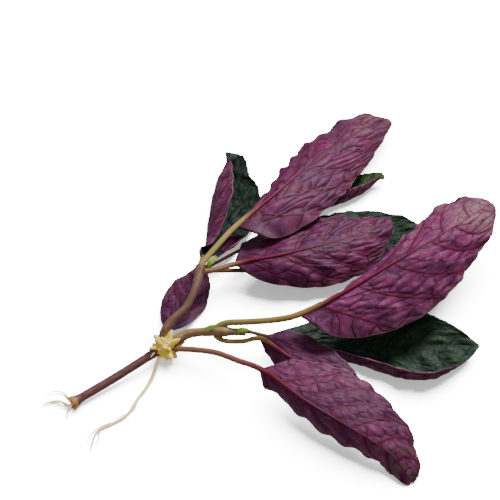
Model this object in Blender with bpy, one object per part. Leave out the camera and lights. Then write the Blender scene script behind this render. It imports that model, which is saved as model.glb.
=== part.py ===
"""A rooted cutting of a purple waffle-leaved pond plant, lying loose on a table.

Lengths here are millimetres, measured from the rooted joint, until mesh_object turns them into metres.
X runs to the right, Y away from the viewer and Z up, with the table at Z = 0.
"""

import math
from collections import namedtuple

import bmesh
import bpy
from mathutils import Vector

MM = 0.001
# Where the rooted joint stands, from the middle of the space that the whole cutting takes up.
JOINT_X, JOINT_Y, JOINT_Z = -39.45, -33.1, 5.6
JOINT_RADIUS = 3.7
# How far the short roots of the burst reach, as shares of the joint's radius, and the ways along which
# stems, stalks and the long root leave the joint, where no short root stands.
ROOT_TIPS = (1.5, 1.12, 1.3, 1.08, 1.42, 1.15, 1.25)
LEAVING = (
    (-3.6, -2.4, -0.3),
    (3.6, 2, 1),
    (-0.6, 3.4, 3.1),
    (3.9, -1.4, 0.8),
    (-0.5, 4.3, -0.4),
    (-2.4, -3.6, -3),
)
SIDES = 10

# The stems' radii, and the radius to which a stem swells at a joint.
LOWER_STEM, RIGHT_STEM, UPPER_STEM, JOINT_STEM = 1.55, 1.75, 1.3, 1.95
BLADE_THICKNESS = 0.7
MARGIN_THICKNESS = 0.3

# The side veins run forward as they leave the midrib, and the skin swells between them.
VEIN_SWEEP = 0.17
VEIN_BEND = 1.3
QUILT_HEIGHT = 0.8
# The share of a blade over which it opens out of the round stalk, the share over which its folds flatten
# towards the tip, and the share over which its tip thins.
OPENING = 0.1
FLATTENING = 0.12
THINNING = 0.08
# How much of the stalk's radius the midrib loses on its way to the tip.
RIB_TAPER = 0.72
# The first and last rows across a blade, as shares of its midrib.
FIRST_ROW, LAST_ROW = 0.035, 0.985
# The places across a half at which its skin has points, from the margin inwards.
REACHES = (1, 0.7, 0.4)
FOOT_REACH = 0.25
# Within this height over the table, a blade that would sink into it eases up instead.
TABLE_EASE = 0.25
SHARP_EDGE = math.radians(50)

# One half of a blade: its width, the share of the midrib at which it is widest, the angle at which it
# leaves the midrib (up is positive), the further angle that it turns through on its way to the margin, how
# late that turn comes, how blunt its ends are (small is blunt), and how much more pointed the tip is than
# the base. The angles and the lateness are pairs, for the base of the blade and for its tip.
EVEN_TURN = (1.0, 1.0)
Half = namedtuple("Half", "width widest fold curl late blunt point", defaults=(EVEN_TURN, 0.6, 0.0))
Leaf = namedtuple("Leaf", "name stalk rib stalk_radius left right veins ripple under_up colour")

PURPLE = (117, 66, 95)
DARK_PURPLE = (84, 56, 74)
GREEN = (34, 52, 44)
BROWN_RED = (104, 66, 66)
OLIVE = (125, 105, 72)
ROOT_YELLOW = (196, 172, 106)
ROOT_CREAM = (216, 200, 160)
BUD_GREEN = (128, 168, 66)


def linear(colour):
    """A colour of the photograph, 0 to 255, as the values that a material takes."""
    return tuple((part / 255) ** 2.2 for part in colour)


def finish(name, colour, roughness):
    material = bpy.data.materials.new(name)
    material.use_nodes = True
    shader = material.node_tree.nodes["Principled BSDF"]
    shader.inputs["Base Color"].default_value = (*linear(colour), 1)
    shader.inputs["Roughness"].default_value = roughness
    shader.inputs["Metallic"].default_value = 0
    return material


def smooth_step(value):
    value = min(max(value, 0.0), 1.0)
    return value * value * (3 - 2 * value)


def curve_point(points, place):
    """A point of the smooth curve through the given ones; place runs from 0 to the last one's number."""
    index = min(int(place), len(points) - 2)
    part = place - index
    start, end = points[index], points[index + 1]
    before = points[index - 1] if index else start * 2 - end
    after = points[index + 2] if index + 2 < len(points) else end * 2 - start
    return 0.5 * (
        start * 2
        + (end - before) * part
        + (before * 2 - start * 5 + end * 4 - after) * part**2
        + (start * 3 - before - end * 3 + after) * part**3
    )


class Spine:
    """A smooth line through a few points, read by the share of its length."""

    STEPS = 24

    def __init__(self, points):
        corners = [Vector(point) for point in points]
        count = self.STEPS * (len(corners) - 1)
        self.dense = [curve_point(corners, i / self.STEPS) for i in range(count + 1)]
        self.reach = [0.0]
        for start, end in zip(self.dense, self.dense[1:]):
            self.reach.append(self.reach[-1] + (end - start).length)
        self.length = self.reach[-1]

    def share(self, index):
        """The share of the length at which the spine passes its point of this number."""
        return self.reach[index * self.STEPS] / self.length

    def at(self, share):
        target = min(max(share, 0.0), 1.0) * self.length
        index = 1
        while index < len(self.reach) - 1 and self.reach[index] < target:
            index += 1
        low, high = self.reach[index - 1], self.reach[index]
        return self.dense[index - 1].lerp(self.dense[index], (target - low) / (high - low))

    def frame(self, share):
        """The directions along, to the right of and above the spine."""
        step = 0.01
        along = (self.at(share + step) - self.at(share - step)).normalized()
        right = along.cross(Vector((0, 0, 1))).normalized()
        return along, right, right.cross(along)


def mesh_object(name, rings, material):
    """A closed skin over rings of points, each end closed on its middle point."""
    shape = bmesh.new()
    place = Vector((JOINT_X, JOINT_Y, 0))
    loops = [[shape.verts.new((point + place) * MM) for point in ring] for ring in rings]
    count = len(rings[0])
    for lower, upper in zip(loops, loops[1:]):
        for i in range(count):
            j = (i + 1) % count
            # The first half of a ring is a blade's upper skin, the second half its lower one. Both are cut
            # along the same diagonals, so that thin skins don't cross.
            if i < count / 2:
                shape.faces.new((lower[i], lower[j], upper[j]))
                shape.faces.new((lower[i], upper[j], upper[i]))
            else:
                shape.faces.new((lower[i], lower[j], upper[i]))
                shape.faces.new((lower[j], upper[j], upper[i]))
    for loop, ring, turn in ((loops[0], rings[0], -1), (loops[-1], rings[-1], 1)):
        middle = shape.verts.new((sum(ring, Vector()) / count + place) * MM)
        for i in range(count):
            shape.faces.new((loop[i], loop[(i + 1) % count], middle)[::turn])
    if shape.calc_volume(signed=True) < 0:
        bmesh.ops.reverse_faces(shape, faces=shape.faces)
    mesh = bpy.data.meshes.new(name)
    shape.to_mesh(mesh)
    shape.free()
    mesh.materials.append(material)
    mesh.shade_smooth()
    mesh.set_sharp_from_angle(angle=SHARP_EDGE)
    obj = bpy.data.objects.new(name, mesh)
    bpy.context.scene.collection.objects.link(obj)
    return obj


def tube(name, points, radii, rings, material, sides=SIDES):
    """A round stem through the points; radii are given at even steps along it."""
    spine = Spine(points)
    skin = []
    for ring in range(rings + 1):
        share = ring / rings
        step = share * (len(radii) - 1)
        index = min(int(step), len(radii) - 2)
        blend = smooth_step(step - index)
        radius = radii[index] * (1 - blend) + radii[index + 1] * blend
        _, right, up = spine.frame(share)
        turns = [2 * math.pi * i / sides for i in range(sides)]
        middle = spine.at(share)
        skin.append([middle + (right * math.cos(a) + up * math.sin(a)) * radius for a in turns])
    return mesh_object(name, skin, material)


def half_width(half, share):
    """The width of one half along the midrib: a pointed oval, widest where the half says."""
    skew = math.log(0.5) / math.log(half.widest)
    share = min(max(share, 0.0), 1.0)
    return half.width * math.sin(math.pi * share**skew) ** (half.blunt + half.point * share**2)


def across(half, share, reach):
    """How far out and up a half has come at this share of its width, as shares of that width."""
    fold, curl, late = (base * (1 - share) + tip * share for base, tip in (half.fold, half.curl, half.late))
    folded = smooth_step(share / OPENING) * smooth_step((1 - share) / FLATTENING)
    steps = 10
    out = up = 0.0
    for i in range(steps):
        part = (i + 0.5) / steps * reach
        angle = math.radians(fold + curl * part**late) * folded
        out += math.cos(angle) * reach / steps
        up += math.sin(angle) * reach / steps
    angle = math.radians(fold + curl * reach**late) * folded
    return out, up, angle


def blade_point(leaf, spine, base, row, side, reach):
    """A point of the blade's middle surface, with the direction that stands on the blade there.

    row runs from 0 at the blade's base to 1 at its tip along the midrib, and follows the side veins
    outwards; reach runs from 0 at the midrib to 1 at the margin.
    """
    share = row + VEIN_SWEEP * reach**VEIN_BEND * 4 * row * (1 - row)
    half = leaf.left if side < 0 else leaf.right
    opened = smooth_step(share / OPENING)
    width = math.hypot(half_width(half, share), leaf.stalk_radius * (1 - share))
    along = base + (1 - base) * share
    _, right, up = spine.frame(along)
    out_part, up_part, angle = across(half, share, reach)
    point = spine.at(along) + right * side * out_part * width + up * up_part * width
    normal = up * math.cos(angle) - right * side * math.sin(angle)
    swell = math.sin(math.pi * row * leaf.veins) ** 2 * math.sin(math.pi * min(reach, 0.9))
    wave = math.sin(2 * math.pi * (row * leaf.veins * 0.5 + 0.3 * side)) * reach**2
    lift = QUILT_HEIGHT * swell * (1 if leaf.under_up else -1) + leaf.ripple * wave
    return point + normal * lift * opened, normal


def blade_ring(leaf, spine, base, row):
    """One closed section of the blade: over the upper skin from left to right, and back below."""
    opened = smooth_step(row / OPENING)
    thinned = math.sqrt(min(1.0, (1 - row) / THINNING))
    rib = leaf.stalk_radius * (1 - RIB_TAPER * row) * thinned
    upper, lower = [], []
    for side, reach in section_places(leaf, rib, row):
        point, normal = blade_point(leaf, spine, base, row, side, reach)
        if reach == 0:
            # The midrib stands midway between the directions that stand on the two halves.
            _, normal_left = blade_point(leaf, spine, base, row, -1, 0)
            normal = (normal + normal_left).normalized()
        stalk_part = leaf.stalk_radius * math.sqrt(1 - reach**2)
        blade_part = (BLADE_THICKNESS * (1 - reach) + MARGIN_THICKNESS * reach) / 2 * thinned
        half_thick = stalk_part * (1 - opened) + blade_part * opened
        ridge = rib * opened if reach == 0 else 0.0
        over, under = (ridge, 0.0) if leaf.under_up else (0.0, ridge)
        point = above_table(point, half_thick + under)
        if reach == 1:
            upper.append(point)
            continue
        upper.append(point + normal * (half_thick + over))
        lower.append(point - normal * (half_thick + under))
    return upper + lower[::-1]


def section_places(leaf, rib, row):
    """Side and reach of each point across the blade, with two at the foot of the midrib."""
    narrower = min(half_width(half, row) for half in (leaf.left, leaf.right))
    reaches = (*REACHES, min(FOOT_REACH, 1.2 * rib / max(narrower, 1.0)))
    left = [(-1, reach) for reach in reaches]
    return left + [(1, 0)] + [(1, reach) for reach in reversed(reaches)]


def above_table(point, clear):
    """The point, eased up where the blade would otherwise sink into the table."""
    height = point.z - clear
    eased = (height + math.hypot(height, TABLE_EASE)) / 2
    return Vector((point.x, point.y, max(eased, 0.0) + clear))


def leaf_object(leaf, stalk_rings=6):
    """A leaf in one piece: a round stalk that flattens into the blade and runs on as its midrib."""
    spine = Spine([*leaf.stalk, *leaf.rib])
    base = spine.share(len(leaf.stalk))
    count = len(section_places(leaf, leaf.stalk_radius, 0)) * 2 - 2
    rings = []
    for ring in range(stalk_rings):
        share = base * ring / stalk_rings
        _, right, up = spine.frame(share)
        turns = [math.pi * (1 - 2 * i / count) for i in range(count)]
        middle = spine.at(share)
        rings.append([middle + (right * math.cos(a) + up * math.sin(a)) * leaf.stalk_radius for a in turns])
    rows = [i / (2 * leaf.veins) for i in range(2 * leaf.veins)]
    for row in [0, FIRST_ROW, *rows[1:], LAST_ROW]:
        rings.append(blade_ring(leaf, spine, base, row))
    return mesh_object(leaf.name, rings, finish(leaf.name, leaf.colour, 0.5))


FRONT_LEAF = Leaf(
    "front_leaf",
    stalk=[(3.9, -1.4, 6.4), (11.3, -3.8, 8.8), (18.3, -6.6, 10.8), (25.5, -11.1, 12.5)],
    rib=[
        (33.6, -15.8, 13.5),
        (47.2, -28.9, 15),
        (63.3, -39.8, 13.5),
        (73, -45, 10),
        (78.4, -48.5, 5),
        (81.3, -51.6, 0.2),
    ],
    stalk_radius=1.05,
    left=Half(18.8, 0.42, (2, 8), (-15, -15), blunt=0.55),
    right=Half(10, 0.42, (-60, -50), (-60, -60)),
    veins=7,
    ripple=0.6,
    under_up=True,
    colour=PURPLE,
)

RIGHT_LEAF = Leaf(
    "right_leaf",
    stalk=[(21.5, 4.6, 13), (29.6, 4, 14.5), (38.9, 3.8, 16)],
    rib=[
        (46.7, 4.6, 18),
        (60.6, 10.6, 21),
        (81.6, 23.2, 25),
        (93, 30.8, 26),
        (104, 40, 25),
        (119.5, 56, 20),
    ],
    stalk_radius=1.15,
    left=Half(14.5, 0.66, (-50, 0), (-25, -25), blunt=0.5),
    right=Half(21, 0.4, (-10, -35), (-30, -30), blunt=0.72),
    veins=9,
    ripple=0.8,
    under_up=True,
    colour=PURPLE,
)

GREEN_LEAF = Leaf(
    "green_leaf",
    stalk=[(28.8, 2.8, 10.6)],
    rib=[
        (36, 3.5, 7),
        (48, 4, 2.5),
        (58, 4, 0.8),
        (70, 3.8, 0.4),
        (84, 3.4, 0.8),
        (98, 3, 2.5),
        (110, 1, 5),
    ],
    stalk_radius=0.7,
    left=Half(16, 0.58, (2, 10), (6, 6), blunt=0.65, point=0.4),
    right=Half(24, 0.7, (-2, 0), (180, 110), (1.3, 4.0), blunt=0.6, point=0.4),
    veins=8,
    ripple=0.6,
    under_up=False,
    colour=GREEN,
)

UNDER_LEAF = Leaf(
    "under_leaf",
    stalk=[(20.5, 0.2, 8.8), (27, -0.4, 9.2)],
    rib=[(33.7, 0.4, 9.5), (42.6, -7.5, 10), (56.7, -17.5, 9.5), (66, -23.5, 8), (73, -27, 6)],
    stalk_radius=0.9,
    left=Half(11.5, 0.35, (5, -8), (0, 0), blunt=0.65),
    right=Half(8, 0.45, (-60, -40), (-20, -20), blunt=0.65),
    veins=6,
    ripple=0.5,
    under_up=True,
    colour=PURPLE,
)

UPPER_LEAF = Leaf(
    "upper_leaf",
    stalk=[(12.7, 30.7, 15.2), (18.5, 38, 17.2)],
    rib=[
        (24.5, 45.4, 18.5),
        (37.5, 58.5, 20),
        (48, 72, 19),
        (60.4, 88.5, 16),
        (76.9, 107.5, 11),
        (87.8, 116.3, 7),
    ],
    stalk_radius=1.05,
    left=Half(14, 0.66, (-25, -5), (-25, -25), point=0.1),
    right=Half(17.5, 0.36, (-8, -15), (-22, -22), blunt=0.5, point=0.1),
    veins=8,
    ripple=0.7,
    under_up=True,
    colour=PURPLE,
)

MIDDLE_LEAF = Leaf(
    "middle_leaf",
    stalk=[(14.8, 28.6, 13), (19.5, 29.9, 13)],
    rib=[
        (24.5, 31.9, 13),
        (39, 34.6, 14),
        (49.2, 37.8, 14),
        (63.1, 43.6, 13),
        (76.1, 52.5, 10),
        (83.3, 60, 7.5),
    ],
    stalk_radius=1.0,
    left=Half(17.5, 0.4, (-8, -4), (-8, -8), blunt=0.5, point=0.3),
    right=Half(15.5, 0.52, (-10, -12), (-38, -38), point=0.3),
    veins=8,
    ripple=0.6,
    under_up=True,
    colour=PURPLE,
)

DARK_LEAF = Leaf(
    "dark_leaf",
    stalk=[(13.8, 29.8, 11.6), (24, 33.5, 7.5)],
    rib=[
        (33, 37, 4),
        (45, 43.5, 1.2),
        (60, 50.2, 0.5),
        (74, 54.6, 0.5),
        (86, 57.3, 1.5),
        (95, 58.8, 3.5),
    ],
    stalk_radius=0.8,
    left=Half(16, 0.55, (2, 2), (5, 5), blunt=0.65),
    right=Half(14, 0.55, (0, 0), (5, 5), blunt=0.65),
    veins=6,
    ripple=0.4,
    under_up=False,
    colour=GREEN,
)

BACK_LEAF = Leaf(
    "back_leaf",
    stalk=[(11.5, 30.4, 13.1)],
    rib=[(12, 38, 9.5), (12.8, 48.3, 3.5), (13.8, 62, 0.8), (16, 78, 0.4), (19.5, 90, 2), (25.6, 98, 5)],
    stalk_radius=0.8,
    left=Half(18, 0.55, (60, 40), (105, 105), (0.5, 0.5), blunt=0.8),
    right=Half(19, 0.55, (3, 5), (8, 8)),
    veins=7,
    ripple=0.5,
    under_up=False,
    colour=DARK_PURPLE,
)

SMALL_LEAF = Leaf(
    "small_leaf",
    stalk=[(12.4, 30.5, 11.3), (28, 46.5, 6), (44, 61.5, 2.5)],
    rib=[(56, 70, 1.5), (64.8, 75.5, 0.8), (73.8, 81, 1.5), (82.8, 87.5, 4)],
    stalk_radius=0.6,
    left=Half(9, 0.42, (10, 10), (10, 10), blunt=0.7),
    right=Half(9.5, 0.45, (5, 5), (150, 110), EVEN_TURN, blunt=0.7),
    veins=5,
    ripple=0.3,
    under_up=False,
    colour=DARK_PURPLE,
)

BASE_LEAF = Leaf(
    "base_leaf",
    stalk=[(-0.5, 4.3, 5.2)],
    rib=[(0.5, 8, 4.5), (3.2, 15, 3.5), (6, 22.4, 2.8), (9, 31.8, 2.2), (11.5, 41, 1)],
    stalk_radius=0.7,
    left=Half(9, 0.5, (-5, -5), (-10, -10), blunt=0.7),
    right=Half(7.5, 0.5, (-5, -5), (-10, -10), blunt=0.7),
    veins=5,
    ripple=0.3,
    under_up=True,
    colour=DARK_PURPLE,
)

YOUNG_LEAF = Leaf(
    "young_leaf",
    stalk=[(13.9, 30.6, 13.4)],
    rib=[(18.8, 35.6, 14.2), (21.5, 39, 14), (24.2, 42, 13.8), (27, 45, 13.4)],
    stalk_radius=0.55,
    left=Half(3, 0.45, (30, 30), (20, 20), blunt=0.8),
    right=Half(3, 0.45, (30, 30), (20, 20), blunt=0.8),
    veins=3,
    ripple=0.1,
    under_up=False,
    colour=DARK_PURPLE,
)

LEAVES = (
    FRONT_LEAF,
    RIGHT_LEAF,
    GREEN_LEAF,
    UNDER_LEAF,
    UPPER_LEAF,
    MIDDLE_LEAF,
    DARK_LEAF,
    BACK_LEAF,
    SMALL_LEAF,
    BASE_LEAF,
    YOUNG_LEAF,
)


def stems():
    """The cut stem, and the two stems that it forks into at the rooted joint."""
    lower = [(-30.5, -21.3, LOWER_STEM), (-15.7, -10.7, 3.3), (-3.6, -2.4, 5.3)]
    radii = (LOWER_STEM, LOWER_STEM, LOWER_STEM, LOWER_STEM, JOINT_STEM)
    tube("lower_stem", lower, radii, 12, finish("lower_stem", BROWN_RED, 0.4))
    right = [(3.6, 2.0, 6.6), (8.3, 3.9, 8), (15, 3.3, 10), (19.2, 2.6, 11), (28.2, 2.3, 11)]
    radii = (JOINT_STEM, RIGHT_STEM, RIGHT_STEM, JOINT_STEM, UPPER_STEM, 1.5)
    tube("right_stem", right, radii, 14, finish("right_stem", OLIVE, 0.4))
    upper = [(-0.6, 3.4, 8.7), (2.3, 8.2, 10.2), (7, 13.5, 11), (10.1, 20.5, 13), (11.8, 29.5, 14)]
    radii = (1.5, UPPER_STEM, UPPER_STEM, UPPER_STEM, JOINT_STEM)
    tube("upper_stem", upper, radii, 14, finish("upper_stem", OLIVE, 0.4))


def roots():
    """The one long root, which hangs from the joint, and the thin root at the cut end."""
    long_root = [
        (-2.4, -3.6, 2.6),
        (-4.9, -11.5, 0.7),
        (-8.9, -18.8, 0.5),
        (-11.9, -24.9, 0.5),
        (-16.6, -28.5, 0.5),
        (-21.4, -31.7, 0.5),
        (-23.1, -38.6, 0.4),
    ]
    radii = (0.55, 0.5, 0.45, 0.4, 0.25)
    tube("long_root", long_root, radii, 16, finish("long_root", ROOT_CREAM, 0.6), sides=6)
    thin_root = [(-32.4, -21.6, 1.2), (-35, -19.5, 0.7), (-38, -19.5, 0.5), (-41, -20.5, 0.4)]
    tube("thin_root", thin_root, (0.3, 0.25, 0.2), 6, finish("thin_root", ROOT_CREAM, 0.6), sides=6)


def root_burst():
    """A lumpy knot of short blunt roots, which stand out between the stems that leave it."""
    shape = bmesh.new()
    bmesh.ops.create_icosphere(shape, subdivisions=2, radius=JOINT_RADIUS)
    shape.faces.ensure_lookup_table()
    for number, face in enumerate(list(shape.faces)):
        middle = face.calc_center_median()
        if min(middle.angle(Vector(way)) for way in LEAVING) < 0.6:
            continue
        tip = bmesh.ops.poke(shape, faces=[face])["verts"][0]
        tip.co = middle.normalized() * JOINT_RADIUS * ROOT_TIPS[number % len(ROOT_TIPS)]
    place = Vector((JOINT_X, JOINT_Y, JOINT_Z))
    for vertex in shape.verts:
        vertex.co = (vertex.co + place) * MM
    mesh = bpy.data.meshes.new("root_cluster")
    shape.to_mesh(mesh)
    shape.free()
    mesh.materials.append(finish("root_cluster", ROOT_YELLOW, 0.6))
    obj = bpy.data.objects.new("root_cluster", mesh)
    bpy.context.scene.collection.objects.link(obj)


def bud(name, start, end, radius):
    """A pointed green bud."""
    radii = (radius * 0.5, radius, radius * 0.8, 0.2)
    tube(name, [start, end], radii, 8, finish(name, BUD_GREEN, 0.4), sides=8)


def main():
    for obj in list(bpy.data.objects):
        bpy.data.objects.remove(obj, do_unlink=True)
    stems()
    roots()
    root_burst()
    for leaf in LEAVES:
        leaf_object(leaf)
    bud("side_bud", (15.5, 2.4, 13.2), (18.5, 2.5, 14.5), 0.8)
    bud("right_bud", (26.4, 1.6, 13.1), (29.6, 1.0, 13.7), 0.8)
    bud("upper_bud", (15.1, 30.7, 14.8), (17.9, 33.1, 15.7), 0.8)


main()
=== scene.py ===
# %% [markdown]
# A cutting of a pond plant lies loose on a pale table. Its leaves are puckered like a waffle: mauve with
# crimson veins below, dark green above. Most of them have landed with the mauve side up.
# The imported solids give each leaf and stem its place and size. This script dresses them. A bump map could
# fake the puckers, but the margins and the shadows would stay smooth, so every leaf is rebuilt over the
# same curves with thousands of points, and its veins, puckers and wavy margins are real.

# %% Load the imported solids
import math
from collections import namedtuple

import bpy
import numpy as np
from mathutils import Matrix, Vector


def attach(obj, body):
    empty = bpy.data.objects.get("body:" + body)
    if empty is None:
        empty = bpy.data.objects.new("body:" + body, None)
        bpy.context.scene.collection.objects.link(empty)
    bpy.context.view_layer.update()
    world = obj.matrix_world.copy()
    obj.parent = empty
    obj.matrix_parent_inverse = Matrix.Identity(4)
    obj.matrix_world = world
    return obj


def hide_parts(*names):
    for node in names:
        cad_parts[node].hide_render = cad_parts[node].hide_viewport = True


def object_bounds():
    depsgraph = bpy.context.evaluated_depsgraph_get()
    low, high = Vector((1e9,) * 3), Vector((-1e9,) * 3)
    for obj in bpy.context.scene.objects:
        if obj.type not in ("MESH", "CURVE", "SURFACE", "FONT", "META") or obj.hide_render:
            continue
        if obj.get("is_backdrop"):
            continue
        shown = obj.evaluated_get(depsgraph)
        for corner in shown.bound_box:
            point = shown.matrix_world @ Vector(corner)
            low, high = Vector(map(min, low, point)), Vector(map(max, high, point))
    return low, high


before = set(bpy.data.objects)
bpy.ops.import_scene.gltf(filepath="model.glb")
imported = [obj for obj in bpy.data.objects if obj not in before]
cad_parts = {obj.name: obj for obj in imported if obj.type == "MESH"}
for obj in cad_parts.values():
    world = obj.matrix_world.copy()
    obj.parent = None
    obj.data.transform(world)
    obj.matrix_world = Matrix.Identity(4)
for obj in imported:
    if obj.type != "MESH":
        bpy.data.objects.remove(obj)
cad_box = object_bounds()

MM = 0.001
sides = cad_box[1] - cad_box[0]
print(len(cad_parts), "solids,", [round(side / MM, 1) for side in sides], "mm")

# %% [markdown]
# The camera looks down at the cutting from the front through a long lens, as in the photograph. Three
# numbers are enough: the point of the table in the middle of the picture, how steeply the lens looks
# down, and how far away it is.

# %% Camera
LOOK_AT = Vector((-9.87, 17.27, 0.0)) * MM
STEEPNESS = math.radians(48)
CAMERA_DISTANCE = 448.6 * MM
LENS = 85

camera = bpy.data.objects.new("camera", bpy.data.cameras.new("camera"))
bpy.context.scene.collection.objects.link(camera)
camera.location = LOOK_AT + Vector((0, -math.cos(STEEPNESS), math.sin(STEEPNESS))) * CAMERA_DISTANCE
camera.rotation_euler = (math.pi / 2 - STEEPNESS, 0, 0)
camera.data.lens = LENS
camera.data.clip_start = 0.01
bpy.context.scene.camera = camera
print("camera at", [round(value / MM) for value in camera.location], "mm")

# %% [markdown]
# A stem, a root and the midrib of a leaf all follow a smooth line through a few points. A Bezier curve
# object could hold it, but then no other piece could ask where the line runs. A small class does both: it
# draws a smooth curve through the points, and answers for any share of the length where the curve is and
# which ways are along, right and up there. Lengths are in millimetres from the rooted joint.

# %% Smooth lines
JOINT = np.array([-39.45, -33.1, 0.0])
JOINT_HEIGHT = 5.6


def smooth_step(value):
    value = np.clip(value, 0.0, 1.0)
    return value * value * (3 - 2 * value)


def bell(value, width):
    return np.exp(-((value / width) ** 2))


class Spine:
    """A smooth line through a few points, read by the share of its length."""

    STEPS = 24

    def __init__(self, points):
        points = np.array(points, float)
        padded = np.vstack([2 * points[0] - points[1], points, 2 * points[-1] - points[-2]])
        place = np.linspace(0, len(points) - 1, self.STEPS * (len(points) - 1) + 1)
        index = np.minimum(place.astype(int), len(points) - 2)
        part = (place - index)[:, None]
        before, start, end, after = (padded[index + step] for step in range(4))
        self.dense = 0.5 * (
            start * 2
            + (end - before) * part
            + (before * 2 - start * 5 + end * 4 - after) * part**2
            + (start * 3 - before - end * 3 + after) * part**3
        )
        steps = np.linalg.norm(np.diff(self.dense, axis=0), axis=1)
        self.reach = np.concatenate([[0], np.cumsum(steps)])
        self.length = self.reach[-1]

    def share(self, index):
        """The share of the length at which the line passes its point of this number."""
        return self.reach[index * self.STEPS] / self.length

    def at(self, share):
        target = np.asarray(share, float) * self.length
        return np.stack([np.interp(target, self.reach, self.dense[:, axis]) for axis in range(3)], -1)

    def frame(self, share):
        """The directions along, to the right of and above the line."""
        step = 0.01
        along = self.at(np.minimum(share + step, 1.0)) - self.at(np.maximum(share - step, 0.0))
        along /= np.linalg.norm(along, axis=-1, keepdims=True)
        right = np.cross(along, [0, 0, 1])
        right /= np.linalg.norm(right, axis=-1, keepdims=True)
        return along, right, np.cross(right, along)


# %% [markdown]
# Every skin here starts as Blender's flat grid. The grid is the easiest primitive to bend into a leaf or
# to roll into a stem: each of its points has two plain numbers, one across and one along, from which its
# place is worked out. The face corners keep such numbers as UV maps, for patterns that follow the piece.

# %% A grid to shape
def points_of(piece):
    co = np.zeros(len(piece.data.vertices) * 3)
    piece.data.vertices.foreach_get("co", co)
    return co.reshape(-1, 3)


def flat_sheet(name, columns, rows):
    """A flat grid, and the numbers across (-1 to 1) and along (0 to 1) of each of its points."""
    bpy.ops.object.select_all(action="DESELECT")
    bpy.ops.mesh.primitive_grid_add(x_subdivisions=columns, y_subdivisions=rows, size=2)
    piece = bpy.context.object
    piece.name = name
    piece.data.name = name
    co = points_of(piece)
    return piece, co[:, 0].copy(), (co[:, 1] + 1) / 2


def put_points(piece, points):
    """Moves the piece's points to these places, in millimetres from the rooted joint."""
    piece.data.vertices.foreach_set("co", ((points + JOINT) * MM).astype(np.float32).ravel())
    piece.data.update()


def corner_map(piece, name, across, along):
    """A UV map that holds two numbers at each face corner."""
    layer = piece.data.uv_layers.get(name) or piece.data.uv_layers.new(name=name)
    layer.data.foreach_set("uv", np.stack([across, along], 1).astype(np.float32).ravel())


def corners(piece):
    """The point and the face of each face corner."""
    points = np.zeros(len(piece.data.loops), np.int32)
    piece.data.loops.foreach_get("vertex_index", points)
    faces = np.repeat(np.arange(len(piece.data.polygons)), [p.loop_total for p in piece.data.polygons])
    return points, faces


def join(pieces, name):
    """Joins the pieces into the last of them."""
    bpy.ops.object.select_all(action="DESELECT")
    for piece in pieces:
        piece.select_set(True)
    bpy.context.view_layer.objects.active = pieces[-1]
    bpy.ops.object.join()
    pieces[-1].name = name
    return pieces[-1]


def stands_for(piece, node):
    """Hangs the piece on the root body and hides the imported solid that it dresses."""
    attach(piece, "root")
    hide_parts(node)


# %% [markdown]
# A stalk, a stem or a root is a grid rolled up along its line. The seam is welded, and both ends are closed
# with the fill-holes operator, so that the tube is one closed skin. The radius changes along the way, and
# shallow ribs run along a stem, because water plants have soft stems with a few long ridges.

# %% Tubes
WELD_DISTANCE = 0.0001 * MM
SHARP_ANGLE = math.radians(50)


def rolled_tube(name, spine, radius, rings, sides, ribs=0, rib_depth=0.0, lift=None):
    """A tube along the line; radius and lift are functions of the share of its length."""
    piece, across, along = flat_sheet(name, sides, rings)
    turn = across * math.pi
    _, right, up = spine.frame(along)
    wide = radius(along) * (1 + rib_depth * np.cos(turn * ribs))
    raised = lift(along) if lift else np.zeros_like(along)
    skin = right * (wide * np.sin(turn))[:, None] + up * (raised - wide * np.cos(turn))[:, None]
    put_points(piece, spine.at(along) + skin)
    points, _ = corners(piece)
    corner_map(piece, "leaf", across[points], along[points])
    bpy.ops.object.mode_set(mode="EDIT")
    bpy.ops.mesh.select_all(action="SELECT")
    bpy.ops.mesh.remove_doubles(threshold=WELD_DISTANCE)
    bpy.ops.mesh.fill_holes(sides=0)
    bpy.ops.mesh.normals_make_consistent(inside=False)
    bpy.ops.object.mode_set(mode="OBJECT")
    bpy.ops.object.shade_smooth_by_angle(angle=SHARP_ANGLE)
    return piece


def steps_of(radii):
    """A radius that goes smoothly through the given ones at even steps."""
    def radius(share):
        place = np.clip(share, 0, 1) * (len(radii) - 1)
        index = np.minimum(place.astype(int), len(radii) - 2)
        blend = smooth_step(place - index)
        values = np.array(radii)
        return values[index] * (1 - blend) + values[index + 1] * blend

    return radius


# %% [markdown]
# Materials are graphs of small nodes. Written out one by one they are hard to read, so a socket is
# wrapped in a class whose plus, minus and times add the matching Math node. A mask then reads like the
# sum that it is, and any other node comes from one method that takes its type, settings and inputs.

# %% Shader arithmetic
class Term:
    """A socket of a material's graph that takes part in plain arithmetic."""

    def __init__(self, finish, socket):
        self.finish = finish
        self.socket = socket

    def math(self, operation, *others):
        return self.finish.node("ShaderNodeMath", {"operation": operation}, dict(enumerate((self, *others))))

    def __add__(self, other):
        return self.math("ADD", other)

    def __mul__(self, other):
        return self.math("MULTIPLY", other)

    def __sub__(self, other):
        return self.math("SUBTRACT", other)

    def __rsub__(self, other):
        return self.finish.node("ShaderNodeMath", {"operation": "SUBTRACT"}, {0: other, 1: self})

    def __abs__(self):
        return self.math("ABSOLUTE")

    __radd__ = __add__
    __rmul__ = __mul__

    def smaller(self, other):
        return self.math("MINIMUM", other)


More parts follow.
